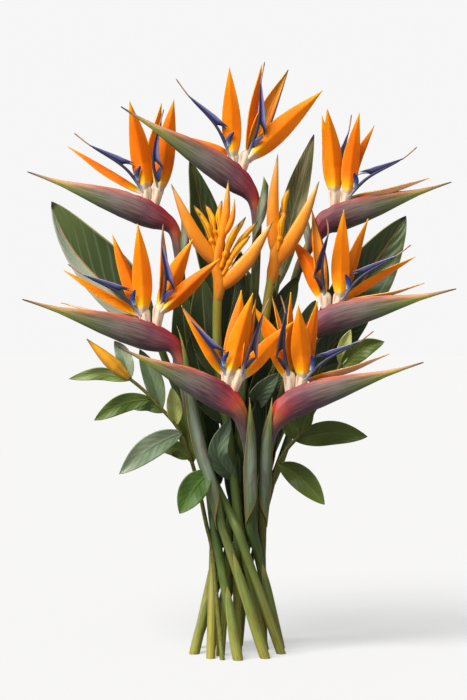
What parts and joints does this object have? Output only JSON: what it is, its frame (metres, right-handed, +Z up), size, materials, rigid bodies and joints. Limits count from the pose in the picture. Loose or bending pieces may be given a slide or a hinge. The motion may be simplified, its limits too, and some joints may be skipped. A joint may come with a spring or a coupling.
{
  "type": "flower bouquet",
  "caption": "Standing spiral bouquet of orange and blue bird of paradise flowers with orange heliconias and dark leaves, its stems crossing at a narrow waist.",
  "frame": {"origin": "on the floor under the middle of the whole bouquet", "axes": "+Z up the bouquet from the cut stem ends, +X to the right of the front view, the front faces -Y"},
  "size_m": [0.4794, 0.1416, 0.6501],
  "materials": {
    "stem_green": "waxy green stem and purple-edged sheath",
    "sepal_orange": "satin orange sepals on pink columns",
    "petal_blue": "satin blue petals",
    "stalk_green": "waxy yellow-green stalk",
    "bract_orange": "waxy orange bracts",
    "leaf_dark": "dark leathery leaf",
    "spray_green": "green leafy spray",
    "twine_green": "green twine"
  },
  "bodies": {
    "root": {"heliconia_left_head": "bract_orange", "heliconia_left_stalk": "stalk_green", "heliconia_right_head": "bract_orange", "heliconia_right_stalk": "stalk_green", "leaf_back_left": "leaf_dark", "leaf_back_right": "leaf_dark", "leaf_left": "leaf_dark", "leaf_low_right": "leaf_dark", "leaf_right": "leaf_dark", "lower_left_arrow_1": "petal_blue", "lower_left_arrow_2": "petal_blue", "lower_left_sepals": "sepal_orange", "lower_left_stem": "stem_green", "lower_right_arrow_1": "petal_blue", "lower_right_arrow_2": "petal_blue", "lower_right_sepals": "sepal_orange", "lower_right_stem": "stem_green", "middle_left_arrow_1": "petal_blue", "middle_left_arrow_2": "petal_blue", "middle_left_sepals": "sepal_orange", "middle_left_stem": "stem_green", "middle_right_arrow_1": "petal_blue", "middle_right_arrow_2": "petal_blue", "middle_right_sepals": "sepal_orange", "middle_right_stem": "stem_green", "spray_left": "spray_green", "spray_left_bud": "bract_orange", "spray_right": "spray_green", "tie": "twine_green", "top_left_arrow_1": "petal_blue", "top_left_arrow_2": "petal_blue", "top_left_sepals": "sepal_orange", "top_left_stem": "stem_green", "top_middle_arrow_1": "petal_blue", "top_middle_arrow_2": "petal_blue", "top_middle_sepals": "sepal_orange", "top_middle_stem": "stem_green", "top_right_arrow_1": "petal_blue", "top_right_arrow_2": "petal_blue", "top_right_sepals": "sepal_orange", "top_right_stem": "stem_green"}
  },
  "joints": []
}
